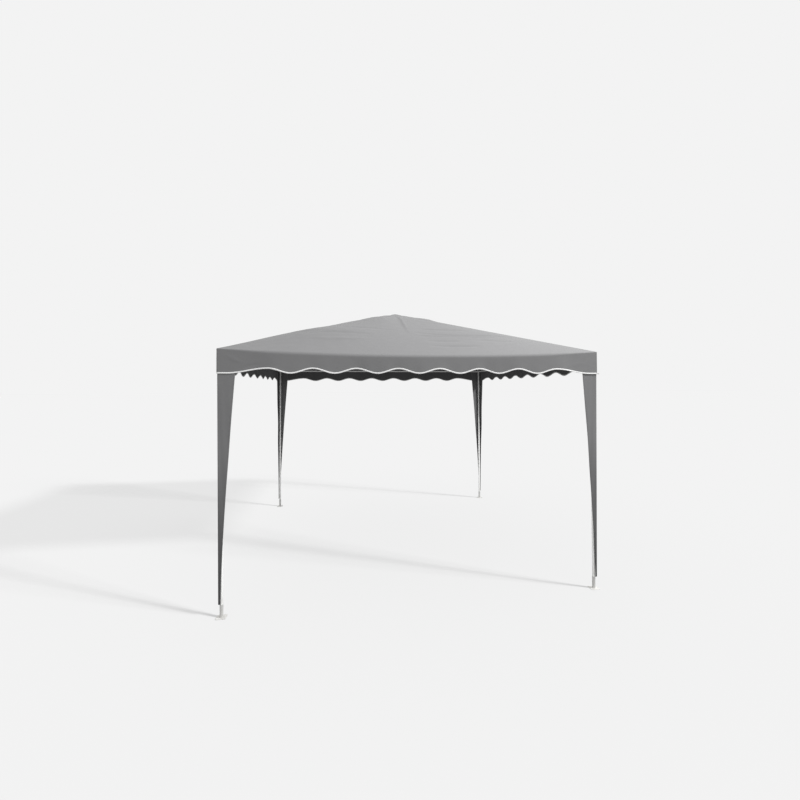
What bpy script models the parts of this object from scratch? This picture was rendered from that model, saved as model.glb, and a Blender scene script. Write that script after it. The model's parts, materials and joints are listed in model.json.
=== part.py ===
"""Garden pavilion: a slot-together steel tube frame under a scalloped fabric canopy.

Metres, +Z up, +Y towards the back. The origin is on the ground under the peak.
Tubes plug into sockets at the feet, the corners and the peak, and each long run
is two tubes joined by a swaged end. A sprung button locks each leg's joint.
"""

import math

import bmesh
import bpy
from mathutils import Matrix, Vector

# Overall shape
HALF_SIDE = 1.5
PEAK_Z = 2.5
CORNER_Z = 1.955
EAVE_DIP = 0.042
PANEL_CROWN = 0.03
FABRIC = 0.0015
SEAM_GAP = 0.0003

# Valance and its binding
VALANCE_FACE = 1.4988
VALANCE_BOTTOM = 1.771
SCALLOPS = 8
SCALLOP_PITCH = 0.325
SCALLOP_RISE = 0.036
LAST_SCALLOP_FADE = 0.29
BINDING_HEIGHT = 0.01
BINDING_FABRIC = 0.0008
SIDE_VALANCE_END = 1.4954

# Leg covers
COVER_FACE = 1.4955
COVER_FOOT_FACE = 1.484
COVER_TOP_Z = 1.925
COVER_FOOT_Z = 0.1
COVER_STRIP = 0.015
COVER_TOP_WIDTH = 0.139
COVER_TAPER = 1.3

# Frame tubes
LEG_AXIS = 1.465
TUBE_R = 0.011
TUBE_WALL = 0.0008
SPIGOT_R = 0.0099
SPIGOT_LENGTH = 0.06
LEG_JOINT_Z = 0.98
EAVE_AXIS_Z = 1.9135
RAFTER_CORNER_Z = 1.935
RAFTER_PEAK_Z = 2.462

# Sockets
SOCKET_R = 0.0127
SOCKET_BORE_R = 0.0114
SOCKET_REACH = 0.078
CORNER_BORE_START = 0.021
RAFTER_BORE_START = 0.03
HUB_BORE_START = 0.028
TUBE_END_GAP = 0.001

# Feet
FOOT_SIDE = 0.07
FOOT_PLATE = 0.0025
FOOT_SOCKET_TOP = 0.095
PEG_HOLE_R = 0.0045
PEG_HOLE_INSET = 0.011

# Sprung button of a leg joint
BUTTON_R = 0.0035
BUTTON_HOLE_R = 0.0039
BUTTON_Z = 1.01
BUTTON_BASE = 0.0047
BUTTON_TIP = 0.0137
CLIP_STRIP = 0.0008
CLIP_WIDTH = 0.007
CLIP_LENGTH = 0.05

ROUND_STEPS = 16


def clear_scene():
    for item in list(bpy.data.objects):
        bpy.data.objects.remove(item)


def make_material(name, colour, roughness, metallic=0.0):
    material = bpy.data.materials.new(name)
    material.use_nodes = True
    shader = material.node_tree.nodes["Principled BSDF"]
    shader.inputs["Base Color"].default_value = (*colour, 1.0)
    shader.inputs["Roughness"].default_value = roughness
    shader.inputs["Metallic"].default_value = metallic
    return material


def finish_mesh(mesh, material, smooth):
    shape = bmesh.new()
    shape.from_mesh(mesh)
    bmesh.ops.recalc_face_normals(shape, faces=shape.faces)
    shape.to_mesh(mesh)
    shape.free()
    mesh.materials.clear()
    mesh.materials.append(material)
    for polygon in mesh.polygons:
        polygon.use_smooth = smooth
    if smooth:
        mesh.set_sharp_from_angle(angle=math.radians(35))
    mesh.update()
    return mesh


def mesh_from(name, points, faces, material, smooth=False):
    mesh = bpy.data.meshes.new(name)
    mesh.from_pydata(points, [], faces)
    return finish_mesh(mesh, material, smooth)


def place(name, mesh, location=(0, 0, 0), turn=None):
    item = bpy.data.objects.new(name, mesh)
    item.location = location
    if turn is not None:
        item.rotation_mode = "QUATERNION"
        item.rotation_quaternion = turn
    bpy.context.scene.collection.objects.link(item)
    return item


def revolve(name, outline, material, steps=ROUND_STEPS, phase=0.0):
    """A closed outline of (radius, height) pairs turned about Z. Radius 0 is a pole."""
    points = []
    rings = []
    for radius, height in outline:
        if radius == 0:
            rings.append([len(points)])
            points.append((0, 0, height))
            continue
        rings.append([len(points) + step for step in range(steps)])
        for step in range(steps):
            angle = 2 * math.pi * (step + phase) / steps
            points.append((radius * math.cos(angle), radius * math.sin(angle), height))
    faces = []
    for first, second in zip(rings, rings[1:] + rings[:1]):
        if len(first) == 1 and len(second) == 1:
            continue
        for step in range(steps):
            after = (step + 1) % steps
            corners = [
                first[step % len(first)],
                first[after % len(first)],
                second[after % len(second)],
                second[step % len(second)],
            ]
            faces.append(list(dict.fromkeys(corners)))
    return mesh_from(name, points, faces, material, smooth=True)


def along(direction):
    """The turn that takes +Z to this direction."""
    return Vector(direction).to_track_quat("Z", "Y")


def combined(name, base, others, material):
    """The mesh of base with each (operation, mesh, location, turn) applied in order."""
    body = place(name + ".body", base)
    helpers = []
    for number, (operation, mesh, location, turn) in enumerate(others):
        helper = place(f"{name}.tool{number}", mesh, location, turn)
        helper.hide_render = True
        helper.display_type = "WIRE"
        helpers.append(helper)
        modifier = body.modifiers.new(f"step{number}", "BOOLEAN")
        modifier.operation = operation
        modifier.solver = "EXACT"
        modifier.object = helper
    bpy.context.view_layer.update()
    graph = bpy.context.evaluated_depsgraph_get()
    mesh = bpy.data.meshes.new_from_object(body.evaluated_get(graph))
    mesh.name = name
    for item in helpers + [body]:
        bpy.data.objects.remove(item)
    return finish_mesh(mesh, material, smooth=True)


def rod(radius, start, end, material, phase=0.0):
    outline = [(0, start), (radius, start), (radius, end), (0, end)]
    return revolve("rod", outline, material, phase=phase)


def tube_mesh(name, length, spigot, material):
    """A tube from z = 0, with a swaged spigot past its top end when asked for."""
    bore = TUBE_R - TUBE_WALL
    if not spigot:
        outline = [(TUBE_R, 0), (TUBE_R, length), (bore, length), (bore, 0)]
        return revolve(name, outline, material)
    neck = SPIGOT_R - TUBE_WALL
    tip = length + SPIGOT_LENGTH
    outline = [
        (TUBE_R, 0),
        (TUBE_R, length),
        (SPIGOT_R, length),
        (SPIGOT_R, tip),
        (neck, tip),
        (neck, length - 0.004),
        (bore, length - 0.008),
        (bore, 0),
    ]
    return revolve(name, outline, material)


def socket_fitting(name, arms, ball_z, ball_r, material):
    """Socket tubes that meet at a ball. Each arm is (root, direction, bore start)."""
    ball = []
    for step in range(7):
        angle = math.pi * step / 6
        radius = 0 if step in (0, 6) else ball_r * math.sin(angle)
        ball.append((radius, ball_z - ball_r * math.cos(angle)))
    base = revolve(name + ".ball", ball, material, phase=0.37)
    steps = []
    for number, (root, direction, _) in enumerate(arms):
        phase = 0.13 + 0.21 * number
        tool = rod(SOCKET_R, 0.001 * number, SOCKET_REACH, material, phase)
        steps.append(("UNION", tool, root, along(direction)))
    for root, direction, start in arms:
        tool = rod(SOCKET_BORE_R, start, SOCKET_REACH + 0.02, material, 0.05)
        steps.append(("DIFFERENCE", tool, root, along(direction)))
    return combined(name, base, steps, material)


def roof_z(across, out):
    """Height of the canopy at a share across a panel (-1 to 1) and out from the peak (0 to 1)."""
    hip = PEAK_Z - (PEAK_Z - CORNER_Z) * out
    crown = PANEL_CROWN * math.sin(math.pi * out) * (1 - across**4)
    dip = EAVE_DIP * out**3 * (1 - across**2)
    return hip + crown - dip


def valance_bottom(position):
    """Height of the valance's lower edge at a distance along its side from the middle."""
    last_crest = (SCALLOPS - 1) * SCALLOP_PITCH / 2
    past = abs(position) - last_crest
    if past > LAST_SCALLOP_FADE:
        return VALANCE_BOTTOM
    if past > 0:
        phase = math.pi * past / LAST_SCALLOP_FADE
    else:
        phase = 2 * math.pi * past / SCALLOP_PITCH
    return VALANCE_BOTTOM + SCALLOP_RISE * (1 + math.cos(phase)) / 2


def roof_panel_mesh(material, rows=6, columns=12):
    """The panel on the -Y side, with its faces upright at the hips."""
    points = []
    index = {}
    for layer, offset in enumerate((0.0, -FABRIC)):
        for row in range(rows + 1):
            out = row / rows
            for column in range(columns + 1 if row else 1):
                across = 2 * column / columns - 1 if row else 0
                index[layer, row, column] = len(points)
                x = across * out * (HALF_SIDE - SEAM_GAP)
                y = -out * (HALF_SIDE - SEAM_GAP) - SEAM_GAP
                points.append((x, y, roof_z(across, out) + offset))
    faces = []
    for layer in (0, 1):
        for row in range(rows):
            for column in range(columns):
                corners = [
                    index[layer, row, column if row else 0],
                    index[layer, row + 1, column],
                    index[layer, row + 1, column + 1],
                    index[layer, row, column + 1 if row else 0],
                ]
                faces.append(list(dict.fromkeys(corners)))
    rim = [(0, 0)] + [(row, 0) for row in range(1, rows + 1)]
    rim += [(rows, column) for column in range(1, columns + 1)]
    rim += [(row, columns) for row in range(rows - 1, 0, -1)]
    for (row, column), (next_row, next_column) in zip(rim, rim[1:] + rim[:1]):
        faces.append(
            [
                index[0, row, column],
                index[0, next_row, next_column],
                index[1, next_row, next_column],
                index[1, row, column],
            ]
        )
    return mesh_from("roof_panel", points, faces, material, smooth=True)


def swept(name, sections, material):
    """A closed solid through equal cross-sections, capped at both ends."""
    count = len(sections[0])
    points = [point for section in sections for point in section]
    faces = [list(range(count)), [len(points) - 1 - number for number in range(count)]]
    for place_in_row in range(len(sections) - 1):
        start = place_in_row * count
        for number in range(count):
            after = (number + 1) % count
            faces.append(
                [start + number, start + after, start + count + after, start + count + number]
            )
    return mesh_from(name, points, faces, material, smooth=True)


def stations(half_length):
    """Positions along a valance, from crest to crest in sixths and then out to the corner."""
    last_crest = (SCALLOPS - 1) * SCALLOP_PITCH / 2
    steps = 6 * (SCALLOPS - 1)
    inner = [-last_crest + last_crest * 2 * number / steps for number in range(steps + 1)]
    outer = [last_crest + LAST_SCALLOP_FADE * number / 4 for number in range(1, 5)]
    outer.append(half_length)
    return [-x for x in reversed(outer)] + inner + outer


def valance_mesh(half_length, material):
    sections = []
    for x in stations(half_length):
        top = roof_z(x / HALF_SIDE, 1.0) - FABRIC - SEAM_GAP
        bottom = valance_bottom(x) + BINDING_FABRIC + SEAM_GAP
        sections.append(
            [
                (x, -VALANCE_FACE, bottom),
                (x, -VALANCE_FACE + FABRIC, bottom),
                (x, -VALANCE_FACE + FABRIC, top),
                (x, -VALANCE_FACE, top),
            ]
        )
    return swept("valance", sections, material)


def binding_mesh(half_length, material):
    """A strip folded round the valance's lower edge."""
    outer = -VALANCE_FACE - SEAM_GAP
    inner = -VALANCE_FACE + FABRIC + SEAM_GAP
    sections = []
    for x in stations(half_length):
        low = valance_bottom(x)
        high = low + BINDING_HEIGHT
        floor = low + BINDING_FABRIC
        sections.append(
            [
                (x, outer - BINDING_FABRIC, low),
                (x, inner + BINDING_FABRIC, low),
                (x, inner + BINDING_FABRIC, high),
                (x, inner, high),
                (x, inner, floor),
                (x, outer, floor),
                (x, outer, high),
                (x, outer - BINDING_FABRIC, high),
            ]
        )
    return swept("binding", sections, material)


def cover_mesh(material, rows=8):
    """A tapered cover folded round the outside of the front left leg."""
    sections = []
    for row in range(rows + 1):
        share = row / rows
        z = COVER_FOOT_Z + (COVER_TOP_Z - COVER_FOOT_Z) * share
        width = COVER_STRIP + (COVER_TOP_WIDTH - COVER_STRIP) * share**COVER_TAPER
        outer = -COVER_FOOT_FACE - (COVER_FACE - COVER_FOOT_FACE) * share
        inner = outer + FABRIC
        tip = outer + width
        sections.append(
            [
                (outer, outer, z),
                (tip, outer, z),
                (tip, inner, z),
                (inner, inner, z),
                (inner, tip, z),
                (outer, tip, z),
            ]
        )
    return swept("leg_cover", sections, material)


def foot_mesh(material):
    half = FOOT_SIDE / 2
    corners = [(-half, -half), (half, -half), (half, half), (-half, half)]
    bottom = [(x, y, 0.0) for x, y in corners]
    top = [(x, y, FOOT_PLATE) for x, y in corners]
    plate = swept("foot_plate", [bottom, top], material)
    ring = [
        (SOCKET_R, FOOT_PLATE / 2),
        (SOCKET_R, FOOT_SOCKET_TOP),
        (SOCKET_BORE_R, FOOT_SOCKET_TOP),
        (SOCKET_BORE_R, FOOT_PLATE / 2),
    ]
    steps = [("UNION", revolve("foot_socket", ring, material), (0, 0, 0), None)]
    reach = half - PEG_HOLE_INSET
    for x, y in ((reach, -reach), (-reach, reach)):
        tool = rod(PEG_HOLE_R, -0.01, 0.02, material)
        steps.append(("DIFFERENCE", tool, (x, y, 0), None))
    return combined("foot", plate, steps, material)


def drilled(name, base, material):
    """A leg tube of the front left leg with its button hole, which faces the centre."""
    tool = rod(BUTTON_HOLE_R, 0.004, 0.03, material)
    inward = along((1, 1, 0))
    return combined(name, base, [("DIFFERENCE", tool, (0, 0, BUTTON_Z), inward)], material)


def raised(mesh, height):
    mesh.transform(Matrix.Translation((0, 0, height)))
    return mesh


def button_mesh(material):
    outline = [
        (0, BUTTON_BASE),
        (BUTTON_R, BUTTON_BASE),
        (BUTTON_R, BUTTON_TIP - 0.0014),
        (BUTTON_R * 0.75, BUTTON_TIP - 0.0004),
        (BUTTON_R * 0.35, BUTTON_TIP),
        (0, BUTTON_TIP),
    ]
    return revolve("button", outline, material, steps=12)


def clip_mesh(material):
    """A V of spring strip inside the leg, in the plane of X (inward) and Z."""
    face = BUTTON_BASE - 0.0003
    back = -0.0076
    bend = -CLIP_LENGTH
    path = [
        (face, 0.006),
        (face, -0.006),
        (-0.0002, bend + 0.002),
        (-0.0016, bend),
        (-0.003, bend + 0.002),
        (back, -0.006),
        (back, 0.006),
    ]
    inner = [
        (face - CLIP_STRIP, 0.006),
        (face - CLIP_STRIP, -0.0056),
        (-0.001, bend + 0.0032),
        (-0.0016, bend + 0.0012),
        (-0.0022, bend + 0.0032),
        (back + CLIP_STRIP, -0.0056),
        (back + CLIP_STRIP, 0.006),
    ]
    loop = path + inner[::-1]
    half = CLIP_WIDTH / 2
    sections = [[(x, side, z) for x, z in loop] for side in (-half, half)]
    return swept("button_clip", sections, material)


def quarter(number):
    return Matrix.Rotation(math.radians(90) * number, 4, "Z")


CORNERS = ("front_left", "front_right", "back_right", "back_left")
SIDES = ("front", "right", "back", "left")

clear_scene()

WHITE_STEEL = make_material("white_steel", (0.7, 0.7, 0.69), 0.38)
FOOT_STEEL = make_material("foot_steel", (0.67, 0.67, 0.66), 0.42)
FITTING_STEEL = make_material("fitting_steel", (0.68, 0.68, 0.67), 0.4)
SPRING_STEEL = make_material("spring_steel", (0.5, 0.5, 0.5), 0.35, metallic=1.0)
BUTTON_STEEL = make_material("button_steel", (0.6, 0.6, 0.6), 0.3, metallic=1.0)
CAP_PLASTIC = make_material("cap_plastic", (0.2, 0.2, 0.2), 0.5)
CANOPY_CLOTH = make_material("canopy_cloth", (0.19, 0.19, 0.195), 0.85)
VALANCE_CLOTH = make_material("valance_cloth", (0.18, 0.18, 0.185), 0.85)
BINDING_TAPE = make_material("binding_tape", (0.76, 0.76, 0.75), 0.8)
COVER_CLOTH = make_material("cover_cloth", (0.17, 0.17, 0.175), 0.85)

# The frame's fittings, made for the front left corner and turned for the others
CORNER_FITTING = socket_fitting(
    "corner_fitting",
    [
        ((0, 0, 0), (0, 0, -1), CORNER_BORE_START),
        ((0, 0, 0), (1, 0, 0), CORNER_BORE_START),
        ((0, 0, 0), (0, 1, 0), CORNER_BORE_START),
        (
            (0, 0, RAFTER_CORNER_Z - EAVE_AXIS_Z),
            (LEG_AXIS, LEG_AXIS, RAFTER_PEAK_Z - RAFTER_CORNER_Z),
            RAFTER_BORE_START,
        ),
    ],
    RAFTER_CORNER_Z - EAVE_AXIS_Z,
    SOCKET_R + 0.0006,
    FITTING_STEEL,
)
HUB_ARMS = []
for spin in range(4):
    arm = quarter(spin) @ Vector((-LEG_AXIS, -LEG_AXIS, RAFTER_CORNER_Z - RAFTER_PEAK_Z))
    HUB_ARMS.append(((0, 0, 0), tuple(arm), HUB_BORE_START))
PEAK_HUB = socket_fitting("peak_hub", HUB_ARMS, 0.0, 0.0175, FITTING_STEEL)
PEAK_HUB = combined(
    "peak_hub",
    PEAK_HUB,
    [("DIFFERENCE", rod(0.0052, 0.002, 0.03, FITTING_STEEL), (0, 0, 0), None)],
    FITTING_STEEL,
)
place("peak_hub", PEAK_HUB, (0, 0, RAFTER_PEAK_Z))
CAP_OUTLINE = [
    (0, 0.003),
    (0.0049, 0.003),
    (0.0049, 0.0182),
    (0.03, 0.0182),
    (0.034, 0.0196),
    (0.031, 0.0224),
    (0.02, 0.0268),
    (0.008, 0.0316),
    (0, 0.0335),
]
place("peak_cap", revolve("peak_cap", CAP_OUTLINE, CAP_PLASTIC), (0, 0, RAFTER_PEAK_Z))

FOOT = foot_mesh(FOOT_STEEL)
LEG_LOWER = tube_mesh(
    "leg_lower", LEG_JOINT_Z - FOOT_PLATE - TUBE_END_GAP, True, WHITE_STEEL
)
LEG_LOWER = drilled(
    "leg_lower", raised(LEG_LOWER, FOOT_PLATE + TUBE_END_GAP), WHITE_STEEL
)
LEG_TOP = EAVE_AXIS_Z - CORNER_BORE_START - TUBE_END_GAP
LEG_UPPER = tube_mesh("leg_upper", LEG_TOP - LEG_JOINT_Z - SEAM_GAP, False, WHITE_STEEL)
LEG_UPPER = drilled("leg_upper", raised(LEG_UPPER, LEG_JOINT_Z + SEAM_GAP), WHITE_STEEL)
BUTTON = button_mesh(BUTTON_STEEL)
CLIP = clip_mesh(SPRING_STEEL)
COVER = cover_mesh(COVER_CLOTH)

EAVE_HALF = LEG_AXIS - CORNER_BORE_START - TUBE_END_GAP
EAVE_WITH_SPIGOT = tube_mesh("eave_spigot_tube", EAVE_HALF, True, WHITE_STEEL)
EAVE_PLAIN = tube_mesh("eave_plain_tube", EAVE_HALF - SEAM_GAP, False, WHITE_STEEL)

RAFTER_RISE = RAFTER_PEAK_Z - RAFTER_CORNER_Z
RAFTER_LENGTH = math.hypot(LEG_AXIS * math.sqrt(2), RAFTER_RISE)
RAFTER_SPLIT = RAFTER_LENGTH / 2
RAFTER_LOW_START = RAFTER_BORE_START + TUBE_END_GAP
RAFTER_TOP_END = RAFTER_LENGTH - HUB_BORE_START - TUBE_END_GAP
RAFTER_LOWER = tube_mesh(
    "rafter_lower", RAFTER_SPLIT - RAFTER_LOW_START, True, WHITE_STEEL
)
RAFTER_UPPER = tube_mesh(
    "rafter_upper", RAFTER_TOP_END - RAFTER_SPLIT - SEAM_GAP, False, WHITE_STEEL
)

for number, corner in enumerate(CORNERS):
    turn = quarter(number)
    spin = turn.to_quaternion()
    ground = turn @ Vector((-LEG_AXIS, -LEG_AXIS, 0))
    place("foot_" + corner, FOOT, ground, spin)
    place("leg_lower_" + corner, LEG_LOWER, ground, spin)
    place("leg_upper_" + corner, LEG_UPPER, ground, spin)
    inward = turn @ Vector((1, 1, 0)).normalized()
    joint = ground + Vector((0, 0, BUTTON_Z))
    place("leg_button_" + corner, BUTTON, joint, along(inward))
    clip_turn = Matrix.Rotation(math.radians(45 + 90 * number), 4, "Z").to_quaternion()
    place("button_clip_" + corner, CLIP, joint, clip_turn)
    place("corner_fitting_" + corner, CORNER_FITTING, ground + Vector((0, 0, EAVE_AXIS_Z)), spin)
    place("leg_cover_" + corner, COVER, (0, 0, 0), spin)
    foot_of_rafter = ground + Vector((0, 0, RAFTER_CORNER_Z))
    uphill = (Vector((0, 0, RAFTER_PEAK_Z)) - foot_of_rafter).normalized()
    place(
        "rafter_lower_" + corner,
        RAFTER_LOWER,
        foot_of_rafter + uphill * RAFTER_LOW_START,
        along(uphill),
    )
    place(
        "rafter_upper_" + corner,
        RAFTER_UPPER,
        foot_of_rafter + uphill * (RAFTER_SPLIT + SEAM_GAP),
        along(uphill),
    )

ROOF_PANEL = roof_panel_mesh(CANOPY_CLOTH)
LONG_VALANCE = valance_mesh(VALANCE_FACE, VALANCE_CLOTH)
SHORT_VALANCE = valance_mesh(SIDE_VALANCE_END, VALANCE_CLOTH)
LONG_BINDING = binding_mesh(HALF_SIDE - SEAM_GAP, BINDING_TAPE)
SHORT_BINDING = binding_mesh(SIDE_VALANCE_END, BINDING_TAPE)

for number, side in enumerate(SIDES):
    turn = quarter(number)
    spin = turn.to_quaternion()
    place("roof_panel_" + side, ROOF_PANEL, (0, 0, 0), spin)
    place("valance_" + side, SHORT_VALANCE if number % 2 else LONG_VALANCE, (0, 0, 0), spin)
    place("binding_" + side, SHORT_BINDING if number % 2 else LONG_BINDING, (0, 0, 0), spin)
    along_side = turn @ Vector((1, 0, 0))
    first_end = turn @ Vector((-EAVE_HALF, -LEG_AXIS, EAVE_AXIS_Z))
    second_end = turn @ Vector((EAVE_HALF, -LEG_AXIS, EAVE_AXIS_Z))
    place("eave_tube_a_" + side, EAVE_WITH_SPIGOT, first_end, along(along_side))
    place("eave_tube_b_" + side, EAVE_PLAIN, second_end, along(-along_side))
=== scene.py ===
"""Looks of the garden pavilion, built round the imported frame.

Metres, +Z up, +Y towards the back, origin on the ground under the peak, as in the CAD source.
Everything is made for the front left corner or the front side and turned for the others.
"""

import json
import math
import random

import bpy
import numpy as np
from mathutils import Matrix, Vector

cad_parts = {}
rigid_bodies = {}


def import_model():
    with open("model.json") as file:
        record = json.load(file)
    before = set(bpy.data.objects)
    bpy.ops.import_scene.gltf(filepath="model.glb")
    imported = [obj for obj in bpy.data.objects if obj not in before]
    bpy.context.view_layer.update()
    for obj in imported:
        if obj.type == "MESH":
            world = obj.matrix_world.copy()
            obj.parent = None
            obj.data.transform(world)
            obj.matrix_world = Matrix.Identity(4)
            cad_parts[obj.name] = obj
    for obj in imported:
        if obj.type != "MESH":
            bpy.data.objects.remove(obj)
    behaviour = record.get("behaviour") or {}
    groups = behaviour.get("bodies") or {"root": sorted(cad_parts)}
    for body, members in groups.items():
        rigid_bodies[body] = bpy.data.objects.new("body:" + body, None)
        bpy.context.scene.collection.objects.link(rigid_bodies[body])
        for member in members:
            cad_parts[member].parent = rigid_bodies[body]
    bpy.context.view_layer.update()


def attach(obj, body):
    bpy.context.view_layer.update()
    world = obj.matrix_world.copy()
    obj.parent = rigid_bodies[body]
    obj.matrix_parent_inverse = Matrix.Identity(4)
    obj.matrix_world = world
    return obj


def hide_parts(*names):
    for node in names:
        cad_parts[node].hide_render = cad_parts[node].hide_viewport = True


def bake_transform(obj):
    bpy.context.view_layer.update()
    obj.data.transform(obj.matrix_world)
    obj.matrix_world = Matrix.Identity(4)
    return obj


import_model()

# Canopy, as in the CAD source
HALF = 1.4988
PEAK_Z = 2.5
CORNER_Z = 1.955
EAVE_DIP = 0.042
PANEL_CROWN = 0.03
VALANCE_BOTTOM = 1.771
SCALLOPS = 8
SCALLOP_PITCH = 0.325
SCALLOP_RISE = 0.036
LAST_SCALLOP_FADE = 0.29

# The cloth as sewn
CLOTH = 0.0006
FOLD_RADIUS_MIDDLE = 0.03
FOLD_RADIUS_CORNER = 0.007
CORNER_ROUND = 0.007
TAPE_HEIGHT = 0.0095
TAPE = 0.0007
SEAM_HALF_WIDTH = 0.0065
TAPE_STITCH_DROP = 0.0032
STITCH_PITCH = 0.0042
STITCH_LENGTH = 0.003
THREAD_R = 0.00034

# Leg covers
COVER_FACE = 1.4955
COVER_FOOT_FACE = 1.484
COVER_TOP_Z = 1.925
COVER_FOOT_Z = 0.1
COVER_STRIP = 0.015
COVER_TOP_WIDTH = 0.139
COVER_TAPER = 1.3
COVER_BEND = 0.004
COVER_HEIGHT = COVER_TOP_Z - COVER_FOOT_Z
HEM = 0.009
HEM_STITCH_INSET = 0.0022

# Frame tubes, sockets and feet
LEG_AXIS = 1.465
TUBE_R = 0.011
TUBE_BORE = 0.0102
SPIGOT_R = 0.0099
SPIGOT_LENGTH = 0.06
LEG_JOINT_Z = 0.98
EAVE_AXIS_Z = 1.9135
RAFTER_CORNER_Z = 1.935
RAFTER_PEAK_Z = 2.462
SOCKET_R = 0.0127
SOCKET_BORE = 0.0114
SOCKET_REACH = 0.078
SOCKET_ROOT = 0.0006
CORNER_BORE_START = 0.021
RAFTER_BORE_START = 0.03
HUB_BORE_START = 0.028
END_GAP = 0.001
SEAM_GAP = 0.0003
FOOT_SIDE = 0.07
FOOT_PLATE = 0.0025
FOOT_SOCKET_TOP = 0.095
PEG_HOLE_R = 0.0045
PEG_HOLE_INSET = 0.011
BUTTON_R = 0.0035
BUTTON_HOLE_R = 0.0039
BUTTON_Z = 1.01
BUTTON_BASE = 0.0047
BUTTON_TIP = 0.0137
BUTTON_DOME = 0.0016
CLIP_STRIP = 0.0008
CLIP_WIDTH = 0.007
CLIP_BEND_R = 0.0012
CLIP_BEND = (-0.0016, -0.0488)
CLIP_FRONT = 0.004
CLIP_BACK = -0.0072
CLIP_PAD = (0.006, 0.002, -0.002, -0.0055)
CLIP_ARM_TOP = -0.0075
CLIP_ARM_FOOT = -0.048

CORNERS = ("front_left", "front_right", "back_right", "back_left")
SIDES = ("front", "right", "back", "left")
SIDES_ROUND = 48


# ---------------------------------------------------------------- materials


class Shader:
    """A material's node tree, with short calls to add nodes."""

    def __init__(self, name):
        self.material = bpy.data.materials.new(name)
        self.material.use_nodes = True
        self.tree = self.material.node_tree
        self.main = self.tree.nodes["Principled BSDF"]

    def add(self, kind, inputs=None, **settings):
        node = self.tree.nodes.new("ShaderNode" + kind)
        for key, value in settings.items():
            setattr(node, key, value)
        for key, value in (inputs or {}).items():
            self.feed(node.inputs[key], value)
        return node

    def feed(self, socket, value):
        if isinstance(value, bpy.types.NodeSocket):
            self.tree.links.new(value, socket)
        elif isinstance(value, tuple) and len(value) == 3 and socket.type == "RGBA":
            socket.default_value = (*value, 1.0)
        else:
            socket.default_value = value

    def times(self, first, second):
        return self.add("Math", {0: first, 1: second}, operation="MULTIPLY").outputs[0]

    def height(self):
        return self.add("SeparateXYZ", {"Vector": self.place()}).outputs["Z"]

    def wave(self, vector, scale, distortion=0.0, **settings):
        node = self.add("TexWave", {"Vector": vector, "Scale": scale, "Distortion": distortion}, **settings)
        return node.outputs["Fac"]

    def noise(self, scale, detail=4.0, roughness=0.55, vector=None, distortion=0.0):
        values = {"Scale": scale, "Detail": detail, "Roughness": roughness, "Distortion": distortion}
        return self.add("TexNoise", {"Vector": vector or self.place(), **values}).outputs["Fac"]

    def place(self):
        return self.add("TexCoord").outputs["Object"]

    def between(self, value, low, high, to_low, to_high):
        ends = {"From Min": low, "From Max": high, "To Min": to_low, "To Max": to_high}
        return self.add("MapRange", {"Value": value, **ends}).outputs["Result"]

    def mixed(self, share, first, second):
        return self.add("Mix", {0: share, 6: first, 7: second}, data_type="RGBA").outputs[2]

    def blot(self, value, low, high, most, first, second):
        """The first colour with up to this share of the second, where the value runs from low to high."""
        return self.mixed(self.between(value, low, high, 0.0, most), first, second)

    def bump(self, height, strength, distance, under=None):
        values = {"Height": height, "Strength": strength, "Distance": distance}
        if under:
            values["Normal"] = under
        return self.add("Bump", values).outputs["Normal"]

    def done(self, **inputs):
        for key, value in inputs.items():
            self.feed(self.main.inputs[key.replace("_", " ")], value)
        return self.material


WEAVE = 0.0011
WAVES_PER_THREAD = 0.159
DUST = (0.36, 0.345, 0.32)


def tint(colour, factor):
    return tuple(min(1.0, part * factor) for part in colour)


def cloth_material(name, colour, foot_shade=0.0):
    """Plain-woven polyester: threads from the UV map, which is in metres along the cloth."""
    s = Shader(name)
    flat = s.add("UVMap", uv_map="cloth").outputs["UV"]
    scale = WAVES_PER_THREAD / WEAVE
    threads = s.times(s.wave(flat, scale), s.wave(flat, scale, bands_direction="Y"))
    slubs = s.noise(260.0, 3.0)
    shade = s.noise(2.2, 5.0, 0.6)
    patches = s.noise(17.0, 4.0, 0.6)
    tone = s.blot(shade, 0.3, 0.7, 1.0, tint(colour, 0.955), tint(colour, 1.045))
    tone = s.blot(patches, 0.35, 0.75, 0.45, tone, tint(colour, 0.94))
    tone = s.blot(threads, 0.0, 1.0, 0.22, tint(colour, 0.9), tone)
    # Painted shade: the cloth darkens towards the bottom, from 1.25 m down to 0.15 m, by up to this share of
    # a quarter of its colour.
    if foot_shade:
        tone = s.blot(s.height(), 1.25, 0.15, foot_shade, tone, tint(colour, 0.25))
    fine = s.bump(threads, 0.35, 0.00025)
    puckers = s.bump(s.noise(38.0, 3.0), 0.16, 0.0012, fine)
    normal = s.bump(slubs, 0.12, 0.0003, puckers)
    rough = s.between(patches, 0.2, 0.8, 0.74, 0.9)
    s.done(Specular_IOR_Level=0.28, Sheen_Weight=0.03, Sheen_Roughness=0.5)
    return s.done(Base_Color=tone, Roughness=rough, Normal=normal)


def tape_material(name, colour):
    """Grosgrain tape: ribs across the tape, a little grey where it has been handled."""
    s = Shader(name)
    ribs = s.wave(s.add("UVMap", uv_map="cloth").outputs["UV"], 200.0)
    marks = s.noise(30.0, 5.0, 0.6)
    tone = s.blot(marks, 0.45, 0.75, 0.5, colour, tint(colour, 0.86))
    rough = s.between(marks, 0.3, 0.7, 0.7, 0.86)
    return s.done(Base_Color=tone, Roughness=rough, Normal=s.bump(ribs, 0.4, 0.0002))


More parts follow.
